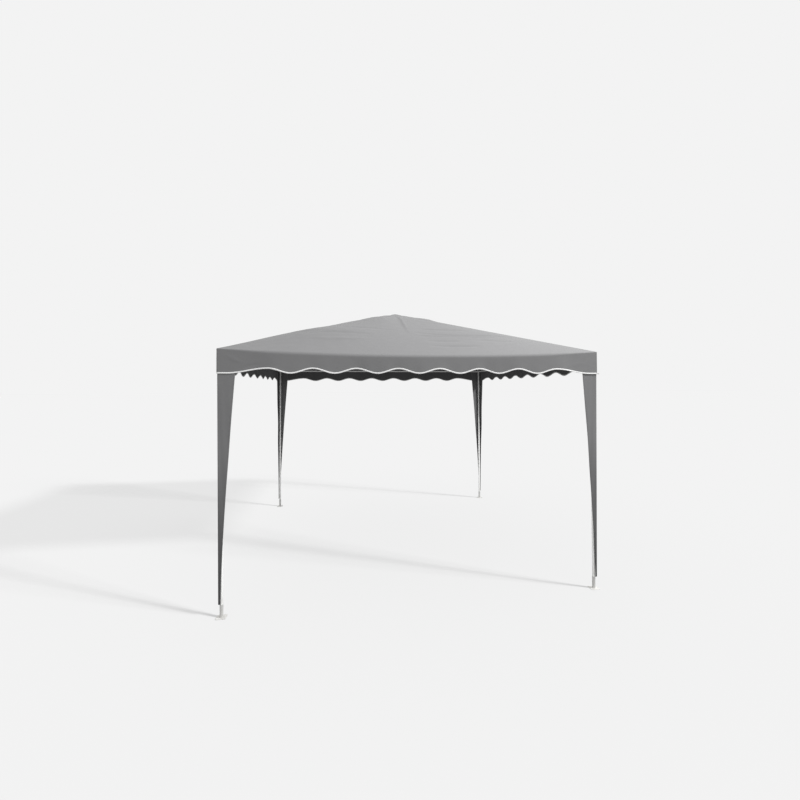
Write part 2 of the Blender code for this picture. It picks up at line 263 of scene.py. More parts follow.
def coated_steel(name, colour, roughness, dirt_height=0.0):
    """Powder coat: orange peel, faint handling marks and, near the ground, some dust."""
    s = Shader(name)
    peel = s.noise(520.0, 2.0, 0.5)
    marks = s.noise(46.0, 6.0, 0.65)
    scuffs = s.noise(9.0, 8.0, 0.72, distortion=0.6)
    tone = s.blot(marks, 0.5, 0.78, 0.35, colour, tint(colour, 0.9))
    tone = s.blot(scuffs, 0.62, 0.72, 0.3, tone, tint(colour, 0.72))
    if dirt_height:
        low = s.between(s.height(), dirt_height, 0.0, 0.0, 1.0)
        tone = s.mixed(s.times(low, s.between(marks, 0.35, 0.7, 0.1, 0.75)), tone, DUST)
    edges = s.add("NewGeometry").outputs["Pointiness"]
    tone = s.blot(edges, 0.56, 0.66, 0.35, tone, tint(colour, 0.62))
    rough = s.between(marks, 0.3, 0.75, roughness, roughness + 0.16)
    return s.done(Base_Color=tone, Roughness=rough, Normal=s.bump(peel, 0.14, 0.0002))


def bare_steel(name, colour, roughness, streaks):
    """Drawn or plated steel, with fine lines along the part and darker spots."""
    s = Shader(name)
    stretched = s.add("Mapping", {"Vector": s.place(), "Scale": streaks}).outputs["Vector"]
    lines = s.noise(700.0, 3.0, 0.6, stretched)
    spots = s.noise(300.0, 5.0, 0.6)
    tone = s.blot(spots, 0.5, 0.75, 0.6, colour, tint(colour, 0.7))
    rough = s.between(lines, 0.3, 0.7, roughness - 0.06, roughness + 0.12)
    return s.done(Metallic=1.0, Base_Color=tone, Roughness=rough, Normal=s.bump(lines, 0.15, 0.0001))


def moulded_plastic(name, colour):
    s = Shader(name)
    grain = s.noise(900.0, 3.0, 0.6)
    scuffs = s.noise(60.0, 6.0, 0.7)
    tone = s.blot(scuffs, 0.55, 0.75, 0.5, colour, tint(colour, 1.5))
    rough = s.between(scuffs, 0.3, 0.7, 0.45, 0.62)
    return s.done(Base_Color=tone, Roughness=rough, Normal=s.bump(grain, 0.22, 0.0002))


def thread_material(name, colour):
    s = Shader(name)
    twist = s.wave(s.place(), 420.0, 2.0)
    rough = s.between(twist, 0.0, 1.0, 0.55, 0.75)
    return s.done(Base_Color=s.mixed(twist, tint(colour, 0.8), colour), Roughness=rough)


# Painted shade: each inside material is a darker copy of its outside cloth, standing in for the shade inside
# the canopy and the covers.
CANOPY_CLOTH = cloth_material("canopy_cloth", (0.162, 0.162, 0.164))
SHADED_INSIDE_CLOTH = cloth_material("canopy_cloth_painted_shade_inside", (0.12, 0.12, 0.122))
# Both cover cloths darken towards the foot as painted shade.
COVER_CLOTH = cloth_material("cover_cloth", (0.157, 0.157, 0.159), foot_shade=0.9)
SHADED_COVER_INSIDE = cloth_material("cover_cloth_painted_shade_inside", (0.14, 0.14, 0.142), foot_shade=0.9)
TAPE_CLOTH = tape_material("binding_tape", (0.68, 0.68, 0.675))
THREAD = thread_material("grey_thread", (0.13, 0.13, 0.132))
WHITE_THREAD = thread_material("white_thread", (0.7, 0.7, 0.69))
WHITE_STEEL = coated_steel("white_steel", (0.78, 0.78, 0.77), 0.34, dirt_height=0.25)
FOOT_STEEL = coated_steel("foot_steel", (0.54, 0.54, 0.53), 0.4, dirt_height=0.12)
FITTING_STEEL = coated_steel("fitting_steel", (0.68, 0.68, 0.67), 0.36)
SPRING_STEEL = bare_steel("spring_steel", (0.5, 0.49, 0.47), 0.36, (1.0, 1.0, 0.12))
BUTTON_STEEL = bare_steel("button_steel", (0.62, 0.62, 0.63), 0.28, (1.0, 1.0, 1.0))
CAP_PLASTIC = moulded_plastic("cap_plastic", (0.05, 0.05, 0.052))


# ---------------------------------------------------------------- mesh helpers


def signed_volume(points, faces):
    """Positive where the faces of a closed shell look outwards."""
    points = np.array(points, float)
    points -= points.mean(axis=0)
    total = 0.0
    for size in {len(face) for face in faces}:
        group = np.array([face for face in faces if len(face) == size])
        for last in range(2, size):
            normals = np.cross(points[group[:, last - 1]], points[group[:, last]])
            total += np.sum(points[group[:, 0]] * normals)
    return total / 6


class Mesh:
    """Points, faces and, for cloth, the UV of each face corner, gathered from several shells."""

    def __init__(self):
        self.points, self.faces, self.uvs = [], [], []

    def add(self, points, faces, uvs=None, place=None, closed=True):
        """A closed shell is turned inside out if its faces look inwards."""
        first = len(self.points)
        if place is not None:
            points = [place @ Vector(point) for point in points]
        if closed and signed_volume(points, faces) < 0:
            turned_uvs = []
            for face in faces:
                start = len(turned_uvs)
                turned_uvs += (uvs or [])[start : start + len(face)][::-1]
            uvs, faces = turned_uvs, [face[::-1] for face in faces]
        self.points.extend(tuple(point) for point in points)
        self.faces.extend([number + first for number in face] for face in faces)
        self.uvs.extend(uvs or [])
        return self

    def build(self, name, materials, sharp=40.0):
        mesh = bpy.data.meshes.new(name)
        mesh.from_pydata(self.points, [], self.faces)
        for material in materials:
            mesh.materials.append(material)
        mesh.polygons.foreach_set("use_smooth", [True] * len(mesh.polygons))
        if self.uvs:
            flat = [part for corner in self.uvs for part in corner]
            mesh.uv_layers.new(name="cloth").data.foreach_set("uv", flat)
        mesh.validate()
        mesh.update()
        if sharp:
            mesh.set_sharp_from_angle(angle=math.radians(sharp))
        item = bpy.data.objects.new(name, mesh)
        bpy.context.scene.collection.objects.link(item)
        return item


def finished(item, replaced=(), body="pavilion"):
    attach(item, body)
    if replaced:
        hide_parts(*replaced)
    return item


def turned(outline, steps=SIDES_ROUND):
    """Points and faces of a closed outline of (radius, height) pairs turned about Z."""
    points, rings = [], []
    for radius, height in outline:
        count = steps if radius else 1
        rings.append([len(points) + step for step in range(count)])
        points += [(x, y, height) for x, y in arc(radius, 0, 360, steps)[:count]]
    faces = []
    for first, second in zip(rings, rings[1:] + rings[:1]):
        if len(first) == 1 and len(second) == 1:
            continue
        for step in range(steps):
            after = (step + 1) % steps
            corners = ((first, step), (first, after), (second, after), (second, step))
            faces.append(list(dict.fromkeys(ring[at % len(ring)] for ring, at in corners)))
    return points, faces


def loft(sections, closed=False, uvs=None):
    """A skin through equal closed cross-sections, capped at both ends unless it closes on itself."""
    rows, count = len(sections), len(sections[0])
    points = [point for section in sections for point in section]
    faces, corner_uvs = [], []
    for row in range(rows if closed else rows - 1):
        start = row * count
        above = ((row + 1) % rows) * count
        for number in range(count):
            after = (number + 1) % count
            faces.append([start + number, start + after, above + after, above + number])
            if uvs:
                along, further = uvs[0][row], uvs[0][row + 1]
                low, high = uvs[1][number], uvs[1][number + 1]
                corner_uvs += [(along, low), (along, high), (further, high), (further, low)]
    if not closed:
        faces.append(list(range(count))[::-1])
        faces.append([len(points) - count + number for number in range(count)])
        if uvs:
            for row in (0, -1):
                corner_uvs += [(uvs[0][row], uvs[1][number]) for number in range(count)]
    return points, faces, corner_uvs


def pipe(path, radius, sides=8, closed=False):
    """A round bead along a path, with radius as a function of the point's number."""
    sections, count = [], len(path)
    for number, point in enumerate(path):
        before = path[number - 1] if number or closed else path[0]
        after = path[(number + 1) % count] if number + 1 < count or closed else path[-1]
        ahead = (Vector(after) - Vector(before)).normalized()
        side = ahead.orthogonal().normalized()
        if abs(ahead.z) < 0.9:
            side = ahead.cross(Vector((0, 0, 1))).normalized()
        up = side.cross(ahead)
        ring = arc(radius(number), 0, 360, sides)[:-1]
        sections.append([Vector(point) + side * a + up * b for a, b in ring])
    return loft(sections, closed)[:2]


def arc(radius, first, last, steps, middle=(0.0, 0.0)):
    """Points round a middle from one angle to another, in degrees."""
    angles = [math.radians(first + (last - first) * step / steps) for step in range(steps + 1)]
    return [(middle[0] + radius * math.cos(a), middle[1] + radius * math.sin(a)) for a in angles]


def aim(direction, root=(0, 0, 0)):
    """The matrix that takes +Z to this direction and the origin to the root."""
    return Matrix.Translation(root) @ Vector(direction).to_track_quat("Z", "Y").to_matrix().to_4x4()


def quarter(number):
    return Matrix.Rotation(math.radians(90) * number, 4, "Z")


def leg_place(number, height=0.0):
    """The matrix that takes the origin to a leg's axis at a height."""
    return quarter(number) @ Matrix.Translation((-LEG_AXIS, -LEG_AXIS, height))


def bored(item, cutters):
    """The object with each cutter's shape removed, as a plain mesh."""
    for number, cutter in enumerate(cutters):
        modifier = item.modifiers.new(f"bore{number}", "BOOLEAN")
        modifier.operation = "DIFFERENCE"
        modifier.solver = "EXACT"
        modifier.object = cutter
    bpy.context.view_layer.update()
    graph = bpy.context.evaluated_depsgraph_get()
    mesh = bpy.data.meshes.new_from_object(item.evaluated_get(graph))
    item.modifiers.clear()
    item.data = mesh
    mesh.polygons.foreach_set("use_smooth", [True] * len(mesh.polygons))
    mesh.set_sharp_from_angle(angle=math.radians(35))
    for cutter in cutters:
        bpy.data.objects.remove(cutter)
    return item


def round_piece(name, node, outline, place, material, slot, body="pavilion", steps=SIDES_ROUND, cutters=()):
    """A turned piece that stands for one CAD node."""
    item = Mesh().add(*turned(outline, steps), place=place).build(name, [material])
    if cutters:
        bored(item, cutters)
    return finished(item, [node], body)


# One stitch: corners as shares of its length along, and of its thread's radius sideways and up
STITCH = (
    (-0.5, 0, -0.5), (-0.2, 0, 1), (-0.2, 1, 0), (-0.2, -1, 0),
    (0.2, 0, 1), (0.2, 1, 0), (0.2, -1, 0), (0.5, 0, -0.5),
)
STITCH_FACES = (
    (0, 1, 2), (0, 3, 1), (1, 4, 5, 2), (3, 6, 4, 1), (7, 5, 4),
    (7, 4, 6), (0, 2, 3), (2, 5, 6, 3), (7, 6, 5),
)


def unit(rows):
    return rows / np.linalg.norm(rows, axis=1)[:, None]


def run_along(path):
    """The distance along a path at each of its points."""
    return np.concatenate([[0.0], np.cumsum(np.linalg.norm(np.diff(path, axis=0), axis=1))])


def stitch_row(mesh, path, normals):
    """Short raised stitches of thread along a path on cloth, with one normal or one for each point."""
    path = np.array(path, float)
    normals = np.broadcast_to(np.array(normals, float), path.shape)
    run = run_along(path)
    count = int(run[-1] / STITCH_PITCH)
    middles = (np.arange(count) + 0.5) * STITCH_PITCH

    def at(values, distance):
        return np.stack([np.interp(distance, run, values[:, axis]) for axis in range(3)], axis=1)

    centre = at(path, middles)
    ahead = unit(at(path, middles + STITCH_LENGTH / 2) - at(path, middles - STITCH_LENGTH / 2))
    up = unit(at(normals, middles))
    side = np.cross(ahead, up) * THREAD_R
    ahead, up = ahead * STITCH_LENGTH, up * THREAD_R
    points = np.stack([centre + ahead * a + side * b + up * c for a, b, c in STITCH], axis=1)
    size = len(STITCH)
    faces = [[size * number + corner for corner in face] for number in range(count) for face in STITCH_FACES]
    mesh.add(points.reshape(-1, 3), faces)


# ---------------------------------------------------------------- canopy


def smooth_step(value, low, high):
    share = np.clip((value - low) / (high - low), 0.0, 1.0)
    return share * share * (3 - 2 * share)


def roof_height(across, out):
    """The stretched cloth before its creases, as in the CAD source."""
    hip = PEAK_Z - (PEAK_Z - CORNER_Z) * out
    crown = PANEL_CROWN * np.sin(np.pi * out) * (1 - across**4)
    return hip + crown - EAVE_DIP * out**3 * (1 - across**2)


def crease(x, y, start, end, width, height, one_sided=0.0):
    """A slightly bowed crease that tapers to nothing at its ends. one_sided lifts one flank more."""
    run = np.array([end[0] - start[0], end[1] - start[1]])
    length = np.hypot(*run)
    ahead = run / length
    along = ((x - start[0]) * ahead[0] + (y - start[1]) * ahead[1]) / length
    bow = 0.05 * length * math.sin(40 * start[0] + 23 * start[1])
    off = (x - start[0]) * ahead[1] - (y - start[1]) * ahead[0] + bow * (4 * (along - 0.5) ** 2 - 1)
    fade = np.clip(1 - (2 * along - 1) ** 2, 0.0, 1.0) ** 1.1
    narrowed = width * (0.7 + 0.3 * fade)
    ridge = np.exp(-((off / narrowed) ** 2))
    step = one_sided * np.tanh(off / narrowed) * np.exp(-((off / (narrowed * 5)) ** 2))
    return height * fade * (ridge + step)


def swell(x, y, centre, reach, height):
    """A broad soft rise or hollow."""
    return height * np.exp(-(((x - centre[0]) / reach[0]) ** 2) - ((y - centre[1]) / reach[1]) ** 2)


# Creases of the front panel as (start, end, width, height), some with a one-sided share, in metres
# across the panel and out from the peak
FRONT_CREASES = (
    ((0.0, 0.137), (0.0, 1.0), 0.017, 0.006, 0.6),
    ((-0.14, 0.14), (-0.175, 0.58), 0.016, 0.005, -0.6),
    ((0.03, 0.965), (0.82, 1.004), 0.018, -0.014, 0.2),
    ((0.02, 1.066), (0.8, 1.096), 0.018, -0.0135, 0.2),
    ((0.06, 0.842), (0.6, 0.867), 0.018, -0.01),
    ((0.12, 1.302), (0.58, 1.308), 0.018, -0.0115),
    ((0.1, 1.195), (0.46, 1.2), 0.016, -0.0085),
    ((0.17, 0.39), (0.43, 0.42), 0.017, -0.01),
    ((0.14, 0.545), (0.54, 0.585), 0.017, -0.0065),
    ((0.55, 1.035), (0.94, 1.065), 0.018, -0.0085),
    ((0.5, 1.175), (0.92, 1.205), 0.018, -0.006),
    ((-0.92, 1.15), (-0.32, 1.045), 0.019, -0.012),
    ((-0.88, 1.225), (-0.32, 1.14), 0.022, 0.008),
    ((-1.1, 1.13), (-0.72, 1.05), 0.018, -0.0085),
    ((-0.66, 0.925), (-0.12, 0.9), 0.02, -0.0065),
)
HIP_RISE_REACH = 0.13
SEAM_DIP = 0.0022
# Where the cloth rides up a little along the hip at each side's left: (distance out, height)
HIP_RISES = ((0.18, 0.007), (0.315, 0.01), (0.24, 0.008), (0.28, 0.01))


def random_creases(seed):
    """Creases of one of the other panels: two from the peak and the rest roughly level."""
    draw = random.Random(seed)
    found = []
    for _ in range(2):
        lean = draw.uniform(-0.4, 0.4)
        near, far = draw.uniform(0.08, 0.2), draw.uniform(0.5, 0.95)
        height, one_sided = draw.uniform(0.0035, 0.0055), draw.uniform(-0.7, 0.7)
        found.append(((lean * near, near), (lean * far, far), 0.015, height, one_sided))
    for _ in range(11):
        out = draw.uniform(0.45, 1.34)
        middle = draw.uniform(-0.55, 0.55) * out
        half = draw.uniform(0.16, 0.42) * min(1.0, out)
        lean = draw.uniform(-0.045, 0.045)
        height = draw.choice((-1, -1, 0.7)) * draw.uniform(0.004, 0.009)
        start, end = (middle - half, out - lean), (middle + half, out + lean)
        found.append((start, end, draw.uniform(0.02, 0.03), height))
    return tuple(found)


CREASES = (FRONT_CREASES,) + tuple(random_creases(seed) for seed in (11, 23, 37))
# Broad rises and hollows of each side's panel: (centre, reach, height)
SWELLS = (
    (
        ((-0.72, 1.02), (0.34, 0.2), 0.012),
        ((-0.24, 0.5), (0.15, 0.2), 0.016),
        ((0.35, 0.7), (0.4, 0.25), -0.006),
    ),
    (((0.3, 0.9), (0.3, 0.25), 0.007), ((-0.4, 0.8), (0.35, 0.25), -0.006)),
    (((-0.3, 1.0), (0.4, 0.25), -0.006), ((0.4, 0.8), (0.3, 0.25), 0.007)),
    (((0.45, 1.05), (0.4, 0.2), 0.006), ((-0.3, 0.7), (0.3, 0.25), -0.005)),
)


def hip_rise(side, out_metres):
    """The hip's shoulder some way down from the peak, and the slight hollow above it."""
    place, height = HIP_RISES[side % 4]
    shoulder = height * np.exp(-(((out_metres - place) / 0.055) ** 2))
    return shoulder - 0.003 * np.exp(-(((out_metres - 0.075) / 0.04) ** 2))


def front_left_puff(side, x, y):
    """How far the cloth stands off the front left rafter: its hip is rounder and higher than the others."""
    if side % 4 not in (0, 3):
        return 0.0
    near, far = (y + x, y - x) if side % 4 == 0 else (y - x, y + x)
    out = y / HALF
    along = smooth_step(out, 0.08, 0.35) * (1 - smooth_step(out, 0.68, 0.995))
    lift = 0.001 + 0.013 * smooth_step(out, 0.45, 0.8)
    rounded = lift + 0.016 * (1 - np.exp(-near / 0.095))
    return along * rounded * (1 - smooth_step(near, 0.25, 0.8)) * smooth_step(far, 0.0, 0.3)


def roof_surface(side, x, y):
    """Height of the finished cloth of one side's panel. x runs along the side, y out from the peak."""
    out = y / HALF
    across = np.clip(x / np.maximum(y, 1e-6), -1.0, 1.0)
    z = roof_height(across, out)
    from_hip = np.maximum(y - np.abs(x), 0.0)
    z = z - SEAM_DIP * np.exp(-from_hip / 0.02) * smooth_step(out, 0.0, 0.06)
    left_share = np.clip((1 - across) / 2, 0.0, 1.0)
    near_left = np.exp(-(((y + x) / HIP_RISE_REACH) ** 2))
    near_right = np.exp(-(((y - x) / HIP_RISE_REACH) ** 2))
    z = z + hip_rise(side, y) * near_left * np.sqrt(left_share)
    z = z + hip_rise(side + 1, y) * near_right * np.sqrt(1 - left_share)
    z = z + front_left_puff(side, x, y)
    inside = smooth_step(from_hip, 0.0, 0.07) * (1 - smooth_step(out, 0.93, 0.985))
    relief = sum(crease(x, y, *line) for line in CREASES[side])
    relief = relief + sum(swell(x, y, *broad) for broad in SWELLS[side])
    ripple = 0.0006 * np.sin(31 * x + 7 * np.sin(5 * y + side)) * np.sin(47 * y + 3 * np.sin(4 * x))
    return z + (relief + ripple) * inside


def valance_bottom(position):
    """Height of the valance's lower edge at a distance along its side from the middle."""
    last_crest = (SCALLOPS - 1) * SCALLOP_PITCH / 2
    past = np.abs(position) - last_crest
    outer = np.pi * np.clip(past, 0, LAST_SCALLOP_FADE) / LAST_SCALLOP_FADE
    inner = 2 * np.pi * past / SCALLOP_PITCH
    return VALANCE_BOTTOM + SCALLOP_RISE * (1 + np.cos(np.where(past > 0, outer, inner))) / 2


VALANCE_DEPTH = 0.17
# Creases of the front valance, with the distance down from the fold in the place of the distance out
VALANCE_CREASES = (
    ((-1.44, 0.03), (-1.31, 0.1), 0.01, 0.0016),
    ((-1.33, 0.145), (-1.2, 0.115), 0.009, -0.0018),
    ((1.22, 0.13), (1.42, 0.08), 0.014, 0.0006),
)


def valance_swing(side, x, drop):
    """How far the valance stands out from its plane, at a share of the drop from the fold."""
    near_corner = smooth_step(HALF - np.abs(x), 0.05, 0.26)
    wave = 0.0028 * np.sin(6.1 * x + 1.7 * side + 0.6) + 0.0016 * np.sin(17.0 * x + 2.9 * side)
    wave = wave + 0.0011 * np.sin(39.0 * x + 1.3 * side + 2.0 * np.sin(3 * x))
    folds = 0.0
    if side == 0:
        folds = sum(crease(x, drop * VALANCE_DEPTH, *line) for line in VALANCE_CREASES)
    return near_corner * wave * drop**1.2 + folds * smooth_step(HALF - np.abs(x), 0.0, 0.05)


def eave_stations():
    """Positions along one side, close together at the corners."""
    ends = HALF - np.array([0.0, 0.0023, 0.0046, 0.007, 0.012, 0.02, 0.033])
    middle = np.linspace(-(HALF - 0.05), HALF - 0.05, 189)
    return np.concatenate([-ends, middle, ends[::-1]])


FOLD_ROWS = 9
VALANCE_ROWS = 16


def canopy_grid(side):
    """One side's points as an array of rows by columns by axes, from the peak down."""
    along = eave_stations()
    across = along / HALF
    steeper = 3 * EAVE_DIP * (1 - across**2) + np.pi * PANEL_CROWN * (1 - across**4)
    tilt = np.arctan((PEAK_Z - CORNER_Z + steeper) / HALF)
    soft = smooth_step(HALF - np.abs(along), 0.0, 0.5)
    radius = FOLD_RADIUS_CORNER + (FOLD_RADIUS_MIDDLE - FOLD_RADIUS_CORNER) * soft
    fold_start = HALF - radius * (1 - np.sin(tilt))
    found = []
    dense = np.linspace(0.5, 0.93, 58)
    for share in np.concatenate([np.linspace(0.0, 0.49, 34)[1:], dense, np.linspace(0.94, 1.0, 8)]):
        y = share * fold_start
        x = across * y
        found.append((x, y, roof_surface(side, x, y)))
    centre_z = roof_height(across, 1.0) + np.tan(tilt) * radius - radius / np.cos(tilt)
    for step in range(1, FOLD_ROWS + 1):
        angle = (math.pi / 2 - tilt) * (1 - step / (FOLD_ROWS + 1))
        y = HALF - radius * (1 - np.cos(angle))
        found.append((across * y, y, centre_z + radius * np.sin(angle)))
    fold_end = len(found)
    for step in range(VALANCE_ROWS + 1):
        drop = step / VALANCE_ROWS
        y = HALF + valance_swing(side, along, np.full_like(along, drop))
        found.append((along.copy(), y, centre_z + (valance_bottom(along) - centre_z) * drop))
    xs, ys, zs = (np.array([row[axis] for row in found]) for axis in range(3))
    # The corner is rounded in plan below the fold
    from_corner = HALF - np.abs(along)
    inner = HALF - CORNER_ROUND
    turn = (1 - np.clip(from_corner / CORNER_ROUND, 0, 1)) * math.pi / 4
    arc_x = np.sign(along) * (inner + CORNER_ROUND * np.sin(turn))
    arc_y = inner + CORNER_ROUND * np.cos(turn)
    close = from_corner < CORNER_ROUND
    for row in range(fold_end - FOLD_ROWS, len(xs)):
        share = min(1.0, (row - fold_end + FOLD_ROWS + 1) / FOLD_ROWS)
        xs[row] = np.where(close, xs[row] + (arc_x - along) * share, xs[row])
        ys[row] = np.where(close, ys[row] + (arc_y - HALF) * share, ys[row])
    return np.stack([xs, -ys, zs], axis=2)


def swung(points, side):
    """Points made for the front, turned to another side."""
    cos, sin = ((1, 0), (0, 1), (-1, 0), (0, -1))[side]
    return points @ np.array([[cos, sin, 0], [-sin, cos, 0], [0, 0, 1]])


FRONT_GRIDS = [canopy_grid(side) for side in range(4)]
GRIDS = [swung(grid, side) for side, grid in enumerate(FRONT_GRIDS)]


def panel_uvs(side):
    """Metres along the side and down the cloth from the peak, at each of a side's points."""
    xs, ys, zs = np.moveaxis(FRONT_GRIDS[side], 2, 0)
    first = np.hypot(ys[0], zs[0] - PEAK_Z)
    steps = np.hypot(np.diff(ys, axis=0), np.diff(zs, axis=0))
    down = np.concatenate([first[None], first + np.cumsum(steps, axis=0)])
    return np.stack([xs, down], axis=2)


def thickened(item):
    """The sheet with its cloth's thickness, and its second material, a darker copy that paints shade, on the
    inside.
    """
    solid = item.modifiers.new("cloth", "SOLIDIFY")
    solid.thickness = CLOTH
    solid.offset = -1.0
    solid.material_offset = 1
    return item


def build_canopy():
    """One sheet from the peak to the scalloped edge, right round."""
    points = np.concatenate([grid[:, :-1] for grid in GRIDS], axis=1)
    rows, around = points.shape[:2]
    per_side = around // 4
    faces, uvs = [], []
    peak = rows * around
    for side in range(4):
        flat = panel_uvs(side)
        for column in range(per_side):
            here = side * per_side + column
            both = (here, (here + 1) % around)
            faces.append([peak, *both])
            uvs += [(0.0, 0.0), flat[0, column], flat[0, column + 1]]
            for row in range(rows - 1):
                corners = ((row, 0), (row + 1, 0), (row + 1, 1), (row, 1))
                faces.append([at * around + both[end] for at, end in corners])
                uvs += [flat[at, column + end] for at, end in corners]
    points = np.concatenate([points.reshape(-1, 3), [[0.0, 0.0, PEAK_Z - CLOTH]]])
    mesh = Mesh().add(points, faces, uvs, closed=False)
    item = thickened(mesh.build("canopy", [CANOPY_CLOTH, SHADED_INSIDE_CLOTH], sharp=0))
    names = [f"roof_panel_{side}" for side in SIDES] + [f"valance_{side}" for side in SIDES]
    return finished(item, names)


def ring_row(row):
    """One row of the canopy right round, with the outward direction at each point."""
    points = np.concatenate([grid[row, :-1] for grid in GRIDS])
    ahead = np.roll(points, -1, axis=0) - np.roll(points, 1, axis=0)
    return points, unit(np.stack([ahead[:, 1], -ahead[:, 0], np.zeros(len(ahead))], axis=1))


def build_binding():
    """White tape folded over the scalloped edge, sewn through near its upper edge."""
    edge, outward = ring_row(-1)
    ahead = unit(np.roll(edge, -1, axis=0) - np.roll(edge, 1, axis=0))
    up = ring_row(-3)[0] - edge
    up = unit(up - ahead * np.sum(up * ahead, axis=1)[:, None])
    out, back, top = TAPE, -CLOTH - TAPE, TAPE_HEIGHT
    section = [
        (out * 0.2, top),
        (out, top - 0.0005),
        (out * 1.15, top * 0.6),
        (out, 0.0012),
        (out * 0.4, -0.0002),
        ((out + back) / 2, -TAPE),
        (back + TAPE * 0.6, -0.0002),
        (back, 0.0012),
        (back - TAPE * 0.15, top * 0.6),
        (back, top - 0.0005),
        (back + TAPE * 0.8, top),
    ]
    sections = np.stack([edge + outward * a + up * b for a, b in section], axis=1)
    run = run_along(edge)
    uvs = (np.append(run, run[-1] + 0.003), run_along(np.array(section + section[:1])))
    item = Mesh().add(*loft(sections, closed=True, uvs=uvs)).build("binding_tape", [TAPE_CLOTH], sharp=50)
    names = [f"binding_{side}" for side in SIDES]
    thread = Mesh()
    line = edge + up * (top - TAPE_STITCH_DROP)
    for depth, way in ((out * 1.12 + 0.0001, outward), (back - TAPE * 0.12 - 0.0001, -outward)):
        stitch_row(thread, line + outward * depth, way)
    seam = thread.build("binding_stitches", [WHITE_THREAD], sharp=0)
    return finished(item, names), finished(seam)


# Across the tape's end: shares of its half thickness and of its height
TAPE_SECTION = (
    (-1, 0.03), (-0.5, -0.03), (0.5, -0.03), (1, 0.03), (1, 0.97), (0.4, 1), (-0.4, 1), (-1, 0.97),
)


def build_tape_end():
    """The tape's loose end, which stands out past the front right corner."""
    sections = []
    root = Vector((HALF - 0.006, -HALF - TAPE, float(GRIDS[0][-1, -2, 2])))
    length = 0.02
    for step in range(9):
        share = step / 8
        place = root + Vector((length * share, 0.0016 * share - 0.003 * share**2, -0.0035 * share**2))
        half = TAPE * (1.2 + 0.5 * math.sin(2.4 * share))
        tall = TAPE_HEIGHT * (1 - 0.16 * share)
        sections.append([(place.x, place.y + a * half, place.z + b * tall) for a, b in TAPE_SECTION])
    along = [length * step / 8 for step in range(9)]
    mesh = Mesh().add(*loft(sections, uvs=(along, [0.002 * number for number in range(9)])))
    return finished(mesh.build("binding_tape_end", [TAPE_CLOTH], sharp=50))


CORNER_SEAM_ROWS = 20


def hip_point(side, out, offset, lift):
    """Points beside the hip at a side's left end. A negative offset is on the panel before it."""
    y = np.maximum(out, abs(offset) * 1.01)
    panel, x = (side, offset - y) if offset >= 0 else ((side - 1) % 4, y + offset)
    return swung(np.stack([x, -y, roof_surface(panel, x, y) + lift], axis=1), panel)


def build_hip_seams():
    """Flat-felled seams over the hips, each with two rows of stitches, and down the corners."""
    seams, thread = [], Mesh()
    width = SEAM_HALF_WIDTH * math.sqrt(2)
    profile = [(-width, -0.0002), (-width * 0.93, 0.0006), (-width * 0.2, 0.0008), (0.0, 0.0009)]
    profile += [(width * 0.2, 0.0008), (width * 0.93, 0.0006), (width, -0.0002), (0.0, -0.0005)]
    out = np.linspace(0.03, HALF - FOLD_RADIUS_CORNER, 150)
    for side, corner in enumerate(CORNERS):
        lines = [hip_point(side, out, offset, lift) for offset, lift in profile]
        girth = [0.002 * number for number in range(len(profile) + 1)]
        mesh = Mesh().add(*loft(np.stack(lines, axis=1), uvs=(list(out * 1.46), girth)))
        # down the corner: five lines on the cloth, each lifted along its own way out, and one under it
        before, here = GRIDS[side - 1][-CORNER_SEAM_ROWS:], GRIDS[side][-CORNER_SEAM_ROWS:]
        cloth = (before[:, -5], before[:, -4], here[:, 0], here[:, 3], here[:, 4], here[:, 0])
        leftward, forward = swung(np.array([[-1.0, 0.0, 0.0], [0.0, -1.0, 0.0]]), side)
        diagonal = (leftward + forward) / math.sqrt(2)
        ways = (leftward, leftward, diagonal, forward, forward, diagonal)
        lifts = (-0.0001, 0.0007, 0.0009, 0.0007, -0.0001, -0.0006)
        lines = [line + way * lift for line, way, lift in zip(cloth, ways, lifts)]
        down = [1.6 + 0.009 * number for number in range(CORNER_SEAM_ROWS)]
        mesh.add(*loft(np.stack(lines, axis=1), uvs=(down, [0.003 * number for number in range(7)])))
        seams.append(finished(mesh.build("hip_seam_" + corner, [CANOPY_CLOTH], sharp=60)))
        for offset in (-width * 0.62, width * 0.62):
            stitch_row(thread, hip_point(side, out, offset, 0.00075), (0, 0, 1))
        for number in (1, 3):
            stitch_row(thread, cloth[number] + ways[number] * 0.0008, ways[number])
    seams.append(finished(thread.build("hip_stitches", [THREAD], sharp=0)))
    return seams


# ---------------------------------------------------------------- leg covers


def cover_width(share):
    return COVER_STRIP + (COVER_TOP_WIDTH - COVER_STRIP) * share**COVER_TAPER


def cover_point(number, share, reach):
    """A point on the front left cover. reach runs from -1, the side wing's edge, to 1, the front wing's."""
    face = COVER_FOOT_FACE + (COVER_FACE - COVER_FOOT_FACE) * share
    z = COVER_FOOT_Z + COVER_HEIGHT * share
    run = reach * cover_width(share)
    phase = number * 1.9
    hang = 4 * share * (1 - share)
    drift = 0.0022 * math.sin(7.0 * z + phase) * hang * min(1.0, abs(run) / 0.03)
    ripple = 0.0009 * math.sin(abs(run) * 110 + 5 * z + phase) * min(1.0, abs(run) / 0.02) * hang
    lean = drift + ripple
    if abs(run) < COVER_BEND:
        angle = math.pi / 4 * (1 + run / COVER_BEND)
        inner = -face + COVER_BEND
        return Vector((inner - COVER_BEND * math.cos(angle), inner - COVER_BEND * math.sin(angle), z))
    if run > 0:
        return Vector((-face + run, -face + lean, z))
    return Vector((-face + lean, -face - run, z))


# The hem's section: on which line, how far out of the cloth and how far past the line
HEM_SECTION = (
    ("inner", -0.0001, 0.0),
    ("inner", 0.0005, 0.0004),
    ("edge", 0.0006, -0.0004),
    ("edge", 0.0001, 0.0005),
    ("edge", -0.0009, 0.0003),
    ("inner", -0.0008, 0.0),
)


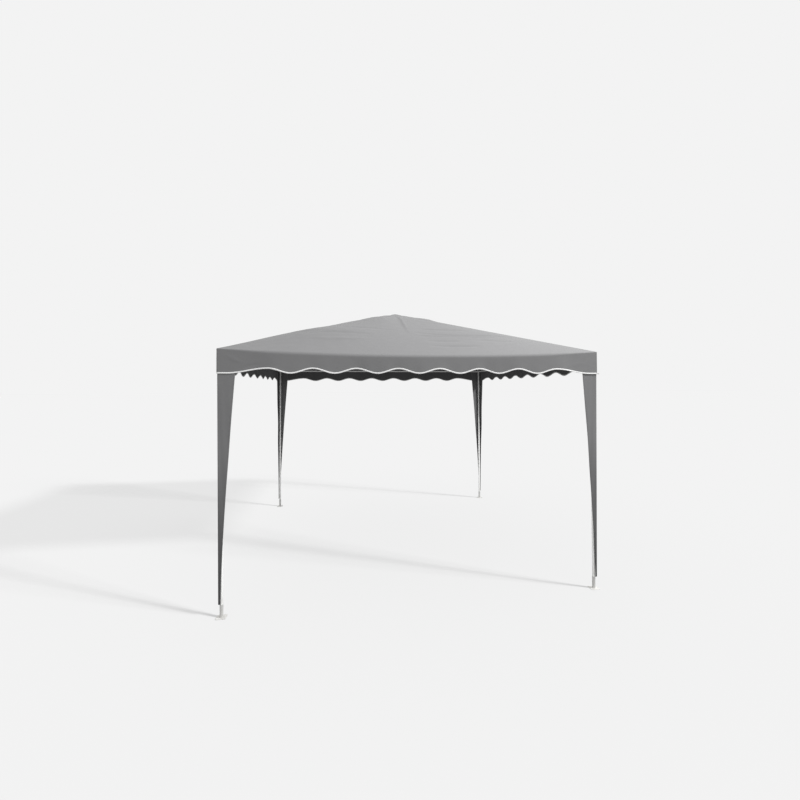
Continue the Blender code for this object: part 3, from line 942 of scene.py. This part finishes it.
def build_leg_cover(number, corner):
    """A tapered cloth folded round the outside of a leg, hemmed down both edges."""
    turn = quarter(number)
    rows = 96
    shares = [row / rows for row in range(rows + 1)]
    down = [share * COVER_HEIGHT for share in shares]
    reaches = [-1.0, -0.93, -0.8, -0.65, -0.5, -0.36, -0.24, -0.14, -0.08, -0.03]
    reaches += [0.0] + [-reach for reach in reversed(reaches)]
    columns = len(reaches)
    points = [turn @ cover_point(number, share, reach) for share in shares for reach in reaches]
    flat = [(reach * cover_width(share), share * COVER_HEIGHT) for share in shares for reach in reaches]
    faces = []
    for row in range(rows):
        for first in range(row * columns, (row + 1) * columns - 1):
            faces.append([first, first + 1, first + columns + 1, first + columns])
    cloth = Mesh().add(points, faces, [flat[point] for face in faces for point in face], closed=False)
    cloth = thickened(cloth.build("leg_cover_cloth_" + corner, [COVER_CLOTH, SHADED_COVER_INSIDE], sharp=0))
    finished(cloth, ["leg_cover_" + corner])
    trim, thread = Mesh(), Mesh()
    for way, normal in ((-1, (-1, 0, 0)), (1, (0, -1, 0))):
        normal = turn @ Vector(normal)
        sections, seam = [], []
        for share in shares:
            width = cover_width(share)
            edge = turn @ cover_point(number, share, way)
            inner = turn @ cover_point(number, share, way * (1 - min(HEM, width * 0.45) / width))
            off = (edge - inner).normalized()
            place = {"inner": inner, "edge": edge}
            sections.append([place[line] + normal * up + off * past for line, up, past in HEM_SECTION])
            seam.append(inner + off * HEM_STITCH_INSET + normal * 0.0006)
        trim.add(*loft(sections, uvs=(down, [0.003 * step for step in range(7)])))
        stitch_row(thread, seam, normal)
    hem = finished(trim.build("leg_cover_hem_" + corner, [COVER_CLOTH], sharp=50))
    seam = finished(thread.build("leg_cover_stitches_" + corner, [THREAD], sharp=0))


# ---------------------------------------------------------------- frame


def tube_outline(length, swaged=False, start=0.0):
    """A tube with softened rims from z = start, and a swaged spigot past its end when asked for."""
    rim, end = 0.0003, start + length
    outline = [(TUBE_BORE, start + rim), (TUBE_BORE + rim, start)]
    outline += [(TUBE_R - rim, start), (TUBE_R, start + rim)]
    if not swaged:
        outline += [(TUBE_R, end - rim), (TUBE_R - rim, end)]
        return outline + [(TUBE_BORE + rim, end), (TUBE_BORE, end - rim)]
    tip = end + SPIGOT_LENGTH
    neck = SPIGOT_R - (TUBE_R - TUBE_BORE)
    return outline + [
        (TUBE_R, end - 0.0012),
        (TUBE_R - rim, end - 0.0005),
        (SPIGOT_R + 0.0001, end),
        (SPIGOT_R, end + 0.001),
        (SPIGOT_R, tip - 0.0012),
        (SPIGOT_R - 0.0004, tip),
        (neck + 0.0002, tip),
        (neck, tip - 0.0004),
        (neck, end - 0.004),
        (TUBE_BORE, end - 0.008),
    ]


def socket_outline(bore_start):
    """A blind socket tube along +Z with a rolled rim."""
    reach = SOCKET_REACH
    lip = [(SOCKET_BORE, reach - 0.0007), (SOCKET_BORE + 0.0004, reach - 0.0001)]
    lip += [(SOCKET_R - 0.0003, reach), (SOCKET_R + 0.0005, reach - 0.0004)]
    lip += [(SOCKET_R + 0.0007, reach - 0.0016), (SOCKET_R + 0.0004, reach - 0.0028)]
    lip += [(SOCKET_R, reach - 0.0036)]
    return [(0, bore_start), (SOCKET_BORE, bore_start)] + lip + [(SOCKET_R, SOCKET_ROOT), (0, SOCKET_ROOT)]


def weld_ring(mesh, radius, height, bead, place):
    """A rippled weld bead round a tube."""
    path = [(x, y, height) for x, y in arc(radius, 0, 360, 120)[:-1]]
    ripple = pipe(path, lambda n: bead * (0.86 + 0.14 * math.sin(n * math.pi / 2.5)), closed=True)
    mesh.add(*ripple, place=place)


def weld_saddle(mesh, first, second, place):
    """The bead where two socket tubes meet at a right angle."""
    first, second = Vector(first), Vector(second)
    across = first.cross(second)
    path = [(first + second) * a + across * b for a, b in arc(SOCKET_R + 0.0002, -88.2, 88.2, 40)]
    mesh.add(*pipe(path, lambda n: 0.0013 * (0.85 + 0.15 * math.sin(n * 1.3))), place=place)


def ball_outline(radius, height):
    return [(0, height - radius), *arc(radius, -90, 90, 20, (0, height))[1:-1], (0, height + radius)]


def build_corner_fitting(number, corner):
    ground = leg_place(number, EAVE_AXIS_Z)
    mesh = Mesh()
    down, right, back = (0, 0, -1), (1, 0, 0), (0, 1, 0)
    for direction in (down, right, back):
        mesh.add(*turned(socket_outline(CORNER_BORE_START)), place=ground @ aim(direction))
    for pair in ((right, back), (right, down), (back, down)):
        weld_saddle(mesh, *pair, ground)
    mesh.add(*turned(ball_outline(SOCKET_R + 0.0003, 0.0)), place=ground)
    rise = RAFTER_CORNER_Z - EAVE_AXIS_Z
    uphill = (LEG_AXIS, LEG_AXIS, RAFTER_PEAK_Z - RAFTER_CORNER_Z)
    arm = ground @ aim(uphill, (0, 0, rise))
    mesh.add(*turned(socket_outline(RAFTER_BORE_START)), place=arm)
    mesh.add(*turned(ball_outline(SOCKET_R + 0.0006, rise)), place=ground)
    finished(mesh.build("fitting_" + corner, [FITTING_STEEL]), ["corner_fitting_" + corner])


def build_peak():
    mesh = Mesh()
    centre = Matrix.Translation((0, 0, RAFTER_PEAK_Z))
    for number in range(4):
        arm = quarter(number) @ Vector((-LEG_AXIS, -LEG_AXIS, RAFTER_CORNER_Z - RAFTER_PEAK_Z))
        place = centre @ aim(arm)
        mesh.add(*turned(socket_outline(HUB_BORE_START)), place=place)
        weld_ring(mesh, SOCKET_R + 0.0003, 0.0168, 0.0011, place)
    body = [(0, -0.0175), (0.008, -0.0168), (0.0135, -0.0125), (0.0166, -0.006), (0.0175, 0.0)]
    body += [(0.0166, 0.006), (0.0135, 0.0122), (0.0085, 0.0152), (0.0054, 0.0158), (0.0052, 0.0152)]
    body += [(0.0052, 0.002), (0, 0.002)]
    mesh.add(*turned(body), place=centre)
    finished(mesh.build("hub", [FITTING_STEEL]), ["peak_hub"])
    outline = [(0, 0.003), (0.0044, 0.003), (0.0049, 0.0036), (0.0049, 0.0178), (0.0054, 0.0182)]
    outline += [(0.0294, 0.0182), (0.0328, 0.0187), (0.034, 0.0198), (0.0332, 0.0212), (0.031, 0.0224)]
    outline += [(0.026, 0.0247), (0.02, 0.0268), (0.014, 0.0292), (0.008, 0.0313)]
    outline += [(0.0035, 0.0327), (0, 0.0332)]
    round_piece("cap", "peak_cap", outline, centre, CAP_PLASTIC, "cap_plastic")


def rounded_square(half, radius):
    points, straight = [], half - radius
    for corner, (x, y) in enumerate(((1, 1), (-1, 1), (-1, -1), (1, -1))):
        points += arc(radius, 90 * corner, 90 * corner + 90, 8, (x * straight, y * straight))
    return points


def hole_cutter(radius, low, high, place):
    """A cutter that also softens the hole's rims."""
    flare = 0.0004
    outline = [(0, low - 0.001), (radius + flare + 0.001, low - 0.001), (radius, low + flare)]
    outline += [(radius, high - flare), (radius + flare + 0.001, high + 0.001), (0, high + 0.001)]
    return Mesh().add(*turned(outline, 32), place=place).build("cutter", [FOOT_STEEL])


def build_foot(number, corner):
    ground = leg_place(number)
    half, soft = FOOT_SIDE / 2, 0.0005
    layers = ((half - soft, 0.0), (half, soft), (half, FOOT_PLATE - soft), (half - soft, FOOT_PLATE))
    sections = [[(x, y, z) for x, y in rounded_square(reach, 0.006)] for reach, z in layers]
    plate = Mesh().add(*loft(sections), place=ground).build("plate", [FOOT_STEEL])
    reach = half - PEG_HOLE_INSET
    cutters = []
    for x, y in ((reach, -reach), (-reach, reach)):
        cutters.append(hole_cutter(PEG_HOLE_R, 0.0, FOOT_PLATE, ground @ Matrix.Translation((x, y, 0))))
    bored(plate, cutters)
    mesh = Mesh()
    low, rim = FOOT_PLATE - 0.0004, FOOT_SOCKET_TOP
    ring = [(SOCKET_BORE, low), (SOCKET_BORE, rim - 0.0007), (SOCKET_BORE + 0.0004, rim - 0.0001)]
    ring += [(SOCKET_R - 0.0003, rim), (SOCKET_R + 0.0004, rim - 0.0004), (SOCKET_R + 0.0006, rim - 0.0014)]
    ring += [(SOCKET_R, rim - 0.003), (SOCKET_R, low)]
    mesh.add(*turned(ring), place=ground)
    weld_ring(mesh, SOCKET_R + 0.0006, FOOT_PLATE + 0.0005, 0.0015, ground)
    mesh.add([v.co[:] for v in plate.data.vertices], [list(p.vertices) for p in plate.data.polygons])
    bpy.data.objects.remove(plate)
    finished(mesh.build("foot_plate_" + corner, [FOOT_STEEL], sharp=35), ["foot_" + corner])


def build_leg(number, corner):
    ground = leg_place(number)
    inward = ground @ aim((1, 1, 0), (0, 0, BUTTON_Z))
    low = FOOT_PLATE + END_GAP
    top = EAVE_AXIS_Z - CORNER_BORE_START - END_GAP
    start = LEG_JOINT_Z + SEAM_GAP
    # The button's hole runs through one side of each tube, between these distances from the axis
    parts = (
        ("lower", tube_outline(LEG_JOINT_Z - low, True, low), 0.0072, 0.0104),
        ("upper", tube_outline(top - start, False, start), 0.0089, 0.0115),
    )
    for part, outline, near, far in parts:
        names = f"leg_tube_{part}_{corner}", f"leg_{part}_{corner}"
        cutter = hole_cutter(BUTTON_HOLE_R, near, far, inward)
        round_piece(*names, outline, ground, WHITE_STEEL, "white_steel", cutters=[cutter])
    outline = [(0, BUTTON_BASE), (BUTTON_R - 0.0003, BUTTON_BASE), (BUTTON_R, BUTTON_BASE + 0.0003)]
    for step in range(6):
        angle = math.pi / 2 * step / 6
        outline.append((BUTTON_R * math.cos(angle), BUTTON_TIP - BUTTON_DOME * (1 - math.sin(angle))))
    outline.append((0, BUTTON_TIP))
    names = "button_head_" + corner, "leg_button_" + corner
    round_piece(*names, outline, inward, BUTTON_STEEL, "button_steel", body="button_" + corner, steps=40)


def clip_arm(face):
    """One arm of the clip as (x, z) points, from its end down to its bend."""
    way = math.copysign(1.0, face)
    top = np.array((face - 0.0002 * way, CLIP_ARM_TOP))
    foot = np.array((CLIP_BEND[0] + CLIP_BEND_R * way, CLIP_ARM_FOOT))
    return [(face, z) for z in CLIP_PAD] + [tuple(top + (foot - top) * step / 10) for step in range(11)]


def build_clip(number, corner):
    """The V of spring strip inside a leg, built as one fixed shape, though the front arm of the real clip
    bends with the button and the back arm stays.
    """
    joint = leg_place(number, BUTTON_Z) @ Matrix.Rotation(math.radians(45), 4, "Z")
    bend = arc(CLIP_BEND_R, 0, -180, 8, CLIP_BEND)[1:-1]
    line = clip_arm(CLIP_FRONT) + bend + clip_arm(CLIP_BACK)[::-1]
    sections, half = [], CLIP_WIDTH / 2
    for step, (x, z) in enumerate(line):
        before, after = line[max(step - 1, 0)], line[min(step + 1, len(line) - 1)]
        across = Vector((after[1] - before[1], before[0] - after[0])).normalized() * CLIP_STRIP / 2
        corners = ((-1, -half), (1, -half), (1, half), (-1, half))
        sections.append([(x + across.x * way, side, z + across.y * way) for way, side in corners])
    clip = Mesh().add(*loft(sections), place=joint).build("spring_clip_" + corner, [SPRING_STEEL])
    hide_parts("button_clip_" + corner)
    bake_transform(clip)


def build_runs(number, corner):
    """The eave tubes of one side and the rafter tubes of one corner."""
    turn, side = quarter(number), SIDES[number]
    half = LEG_AXIS - CORNER_BORE_START - END_GAP
    start = turn @ aim((1, 0, 0), (-half, -LEG_AXIS, EAVE_AXIS_Z))
    end = turn @ aim((-1, 0, 0), (half, -LEG_AXIS, EAVE_AXIS_Z))
    uphill = Vector((LEG_AXIS, LEG_AXIS, RAFTER_PEAK_Z - RAFTER_CORNER_Z))
    split = uphill.length / 2
    root = turn @ aim(uphill, (-LEG_AXIS, -LEG_AXIS, RAFTER_CORNER_Z))
    low = RAFTER_BORE_START + END_GAP
    high = uphill.length - HUB_BORE_START - END_GAP
    first = split + SEAM_GAP
    for run, name, place, outline in (
        ("eave", f"a_{side}", start, tube_outline(half, True)),
        ("eave", f"b_{side}", end, tube_outline(half - SEAM_GAP)),
        ("rafter", f"lower_{corner}", root, tube_outline(split - low, True, low)),
        ("rafter", f"upper_{corner}", root, tube_outline(high - first, False, first)),
    ):
        node = f"eave_tube_{name}" if run == "eave" else f"rafter_{name}"
        round_piece(f"{run}_run_{name}", node, outline, place, WHITE_STEEL, "white_steel")


# ---------------------------------------------------------------- build

canopy = build_canopy()
tape, tape_stitches = build_binding()
tape_end = build_tape_end()
seams = build_hip_seams()
for number, corner in enumerate(CORNERS):
    build_leg_cover(number, corner)
    build_corner_fitting(number, corner)
    build_foot(number, corner)
    build_leg(number, corner)
    build_clip(number, corner)
    build_runs(number, corner)
build_peak()

# ---------------------------------------------------------------- stage, light and camera

BACKGROUND = 0.896
SKY = 1.32
LAMP_PLACE = Vector((4.0, -3.0, 6.0))
LAMP_AIM = Vector((0.0, 0.0, 1.7))
LAMP_SIZE = 0.8
LAMP_POWER = 500.0
SHADOW_WAY = Vector((0.813, -0.409, 0.413))
FLOOR_REACH = 120.0
FLOOR_TONE = 0.06
FLOOR_BOUNCE = 0.4
SOFT_SHADOW = 0.1
SOFT_SPREAD = 4.0
CONTACT_SHADOW = 0.2
CONTACT_SPREAD = 13.0
FLOOR_GLOW = BACKGROUND - SOFT_SHADOW - CONTACT_SHADOW - FLOOR_TONE * SKY
CAMERA_PLACE = (-0.5964, -4.7118, 1.6569)
CAMERA_TURNS = ((-8.376, "Z"), (91.061, "X"), (-0.228, "Z"))
CAMERA_LENS = 18.916
CAMERA_SENSOR = 36.0
CAMERA_SHIFT = (-0.0048, -0.0241)


def build_floor():
    """A pale floor that meets the background without a line."""
    corners = [(x * FLOOR_REACH, y * FLOOR_REACH, 0) for x, y in ((-1, -1), (1, -1), (1, 1), (-1, 1))]
    s = Shader("studio_floor")
    path = s.add("LightPath").outputs["Is Camera Ray"]
    tone = s.add("BsdfDiffuse", {"Color": (FLOOR_TONE,) * 3}).outputs[0]
    glow, bounce = (
        s.add("Emission", {"Color": (1.0, 1.0, 1.0), "Strength": strength}).outputs[0]
        for strength in (FLOOR_GLOW, FLOOR_BOUNCE)
    )
    seen = s.add("AddShader", {0: tone, 1: glow}).outputs[0]
    mix = s.add("MixShader", {0: path, 1: bounce, 2: seen}).outputs[0]
    s.tree.links.new(mix, s.tree.nodes["Material Output"].inputs["Surface"])
    s.material.cycles.emission_sampling = "NONE"
    floor = Mesh().add(corners, [[0, 1, 2, 3]], closed=False).build("floor", [s.material], sharp=0)
    return floor


def build_world():
    """Even white light from all round, behind which the camera sees the plain background."""
    world = bpy.data.worlds.new("studio")
    bpy.context.scene.world = world
    world.use_nodes = True
    nodes, links = world.node_tree.nodes, world.node_tree.links
    seen, sky = nodes["Background"], nodes.new("ShaderNodeBackground")
    seen.inputs["Color"].default_value = (BACKGROUND, BACKGROUND, BACKGROUND, 1.0)
    sky.inputs["Color"].default_value = (1.0, 1.0, 1.0, 1.0)
    sky.inputs["Strength"].default_value = SKY
    path = nodes.new("ShaderNodeLightPath")
    mix = nodes.new("ShaderNodeMixShader")
    for place, source in enumerate((path.outputs["Is Camera Ray"], sky.outputs[0], seen.outputs[0])):
        links.new(source, mix.inputs[place])
    links.new(mix.outputs[0], nodes["World Output"].inputs["Surface"])


def placed_lamp(name, kind, way, energy, floor):
    """A lamp that shines along this direction, with the floor in its collection of receivers."""
    lamp = bpy.data.lights.new(name, kind)
    lamp.energy = energy
    item = bpy.data.objects.new(name, lamp)
    item.rotation_mode = "QUATERNION"
    item.rotation_quaternion = way.to_track_quat("-Z", "Y")
    bpy.context.scene.collection.objects.link(item)
    receivers = bpy.data.collections.new(name + "_receivers")
    receivers.objects.link(floor)
    item.light_linking.receiver_collection = receivers
    return item, lamp, receivers


def build_key_lamp(floor):
    """The large lamp at the right. It leaves the floor to the shadow lamps."""
    item, lamp, receivers = placed_lamp("key_lamp", "AREA", LAMP_AIM - LAMP_PLACE, LAMP_POWER, floor)
    lamp.shape = "DISK"
    lamp.size = LAMP_SIZE
    item.location = LAMP_PLACE
    item.visible_camera = False
    receivers.collection_objects[0].light_linking.link_state = "EXCLUDE"


def build_shadow_lamp(name, depth, spread, floor, blockers=()):
    """An even lamp for the floor alone. Where it is blocked the floor darkens by depth."""
    energy = depth * math.pi / (FLOOR_TONE * SHADOW_WAY.z)
    item, lamp, _ = placed_lamp(name, "SUN", -SHADOW_WAY, energy, floor)
    lamp.angle = math.radians(spread)
    if blockers:
        casting = bpy.data.collections.new(name + "_blockers")
        for blocker in blockers:
            casting.objects.link(blocker)
        item.light_linking.blocker_collection = casting


def build_camera():
    """A low viewpoint, a little left of the middle and slightly turned to the right."""
    data = bpy.data.cameras.new("camera")
    data.sensor_width = CAMERA_SENSOR
    data.lens = CAMERA_LENS
    data.shift_x, data.shift_y = CAMERA_SHIFT
    place = Matrix.Translation(CAMERA_PLACE)
    for degrees, axis in CAMERA_TURNS:
        place = place @ Matrix.Rotation(math.radians(degrees), 4, axis)
    camera = bpy.data.objects.new("camera", data)
    camera.matrix_world = place
    bpy.context.scene.collection.objects.link(camera)
    bpy.context.scene.camera = camera


floor = build_floor()
build_world()
build_key_lamp(floor)
LOW_PIECES = ("foot_plate", "leg_tube", "leg_cover_cloth")
low_pieces = [item for item in bpy.data.objects if item.name.startswith(LOW_PIECES)]
build_shadow_lamp("soft_shadow_lamp", SOFT_SHADOW, SOFT_SPREAD, floor)
build_shadow_lamp("contact_shadow_lamp", CONTACT_SHADOW, CONTACT_SPREAD, floor, low_pieces)
build_camera()
bpy.context.scene.view_settings.view_transform = "Standard"
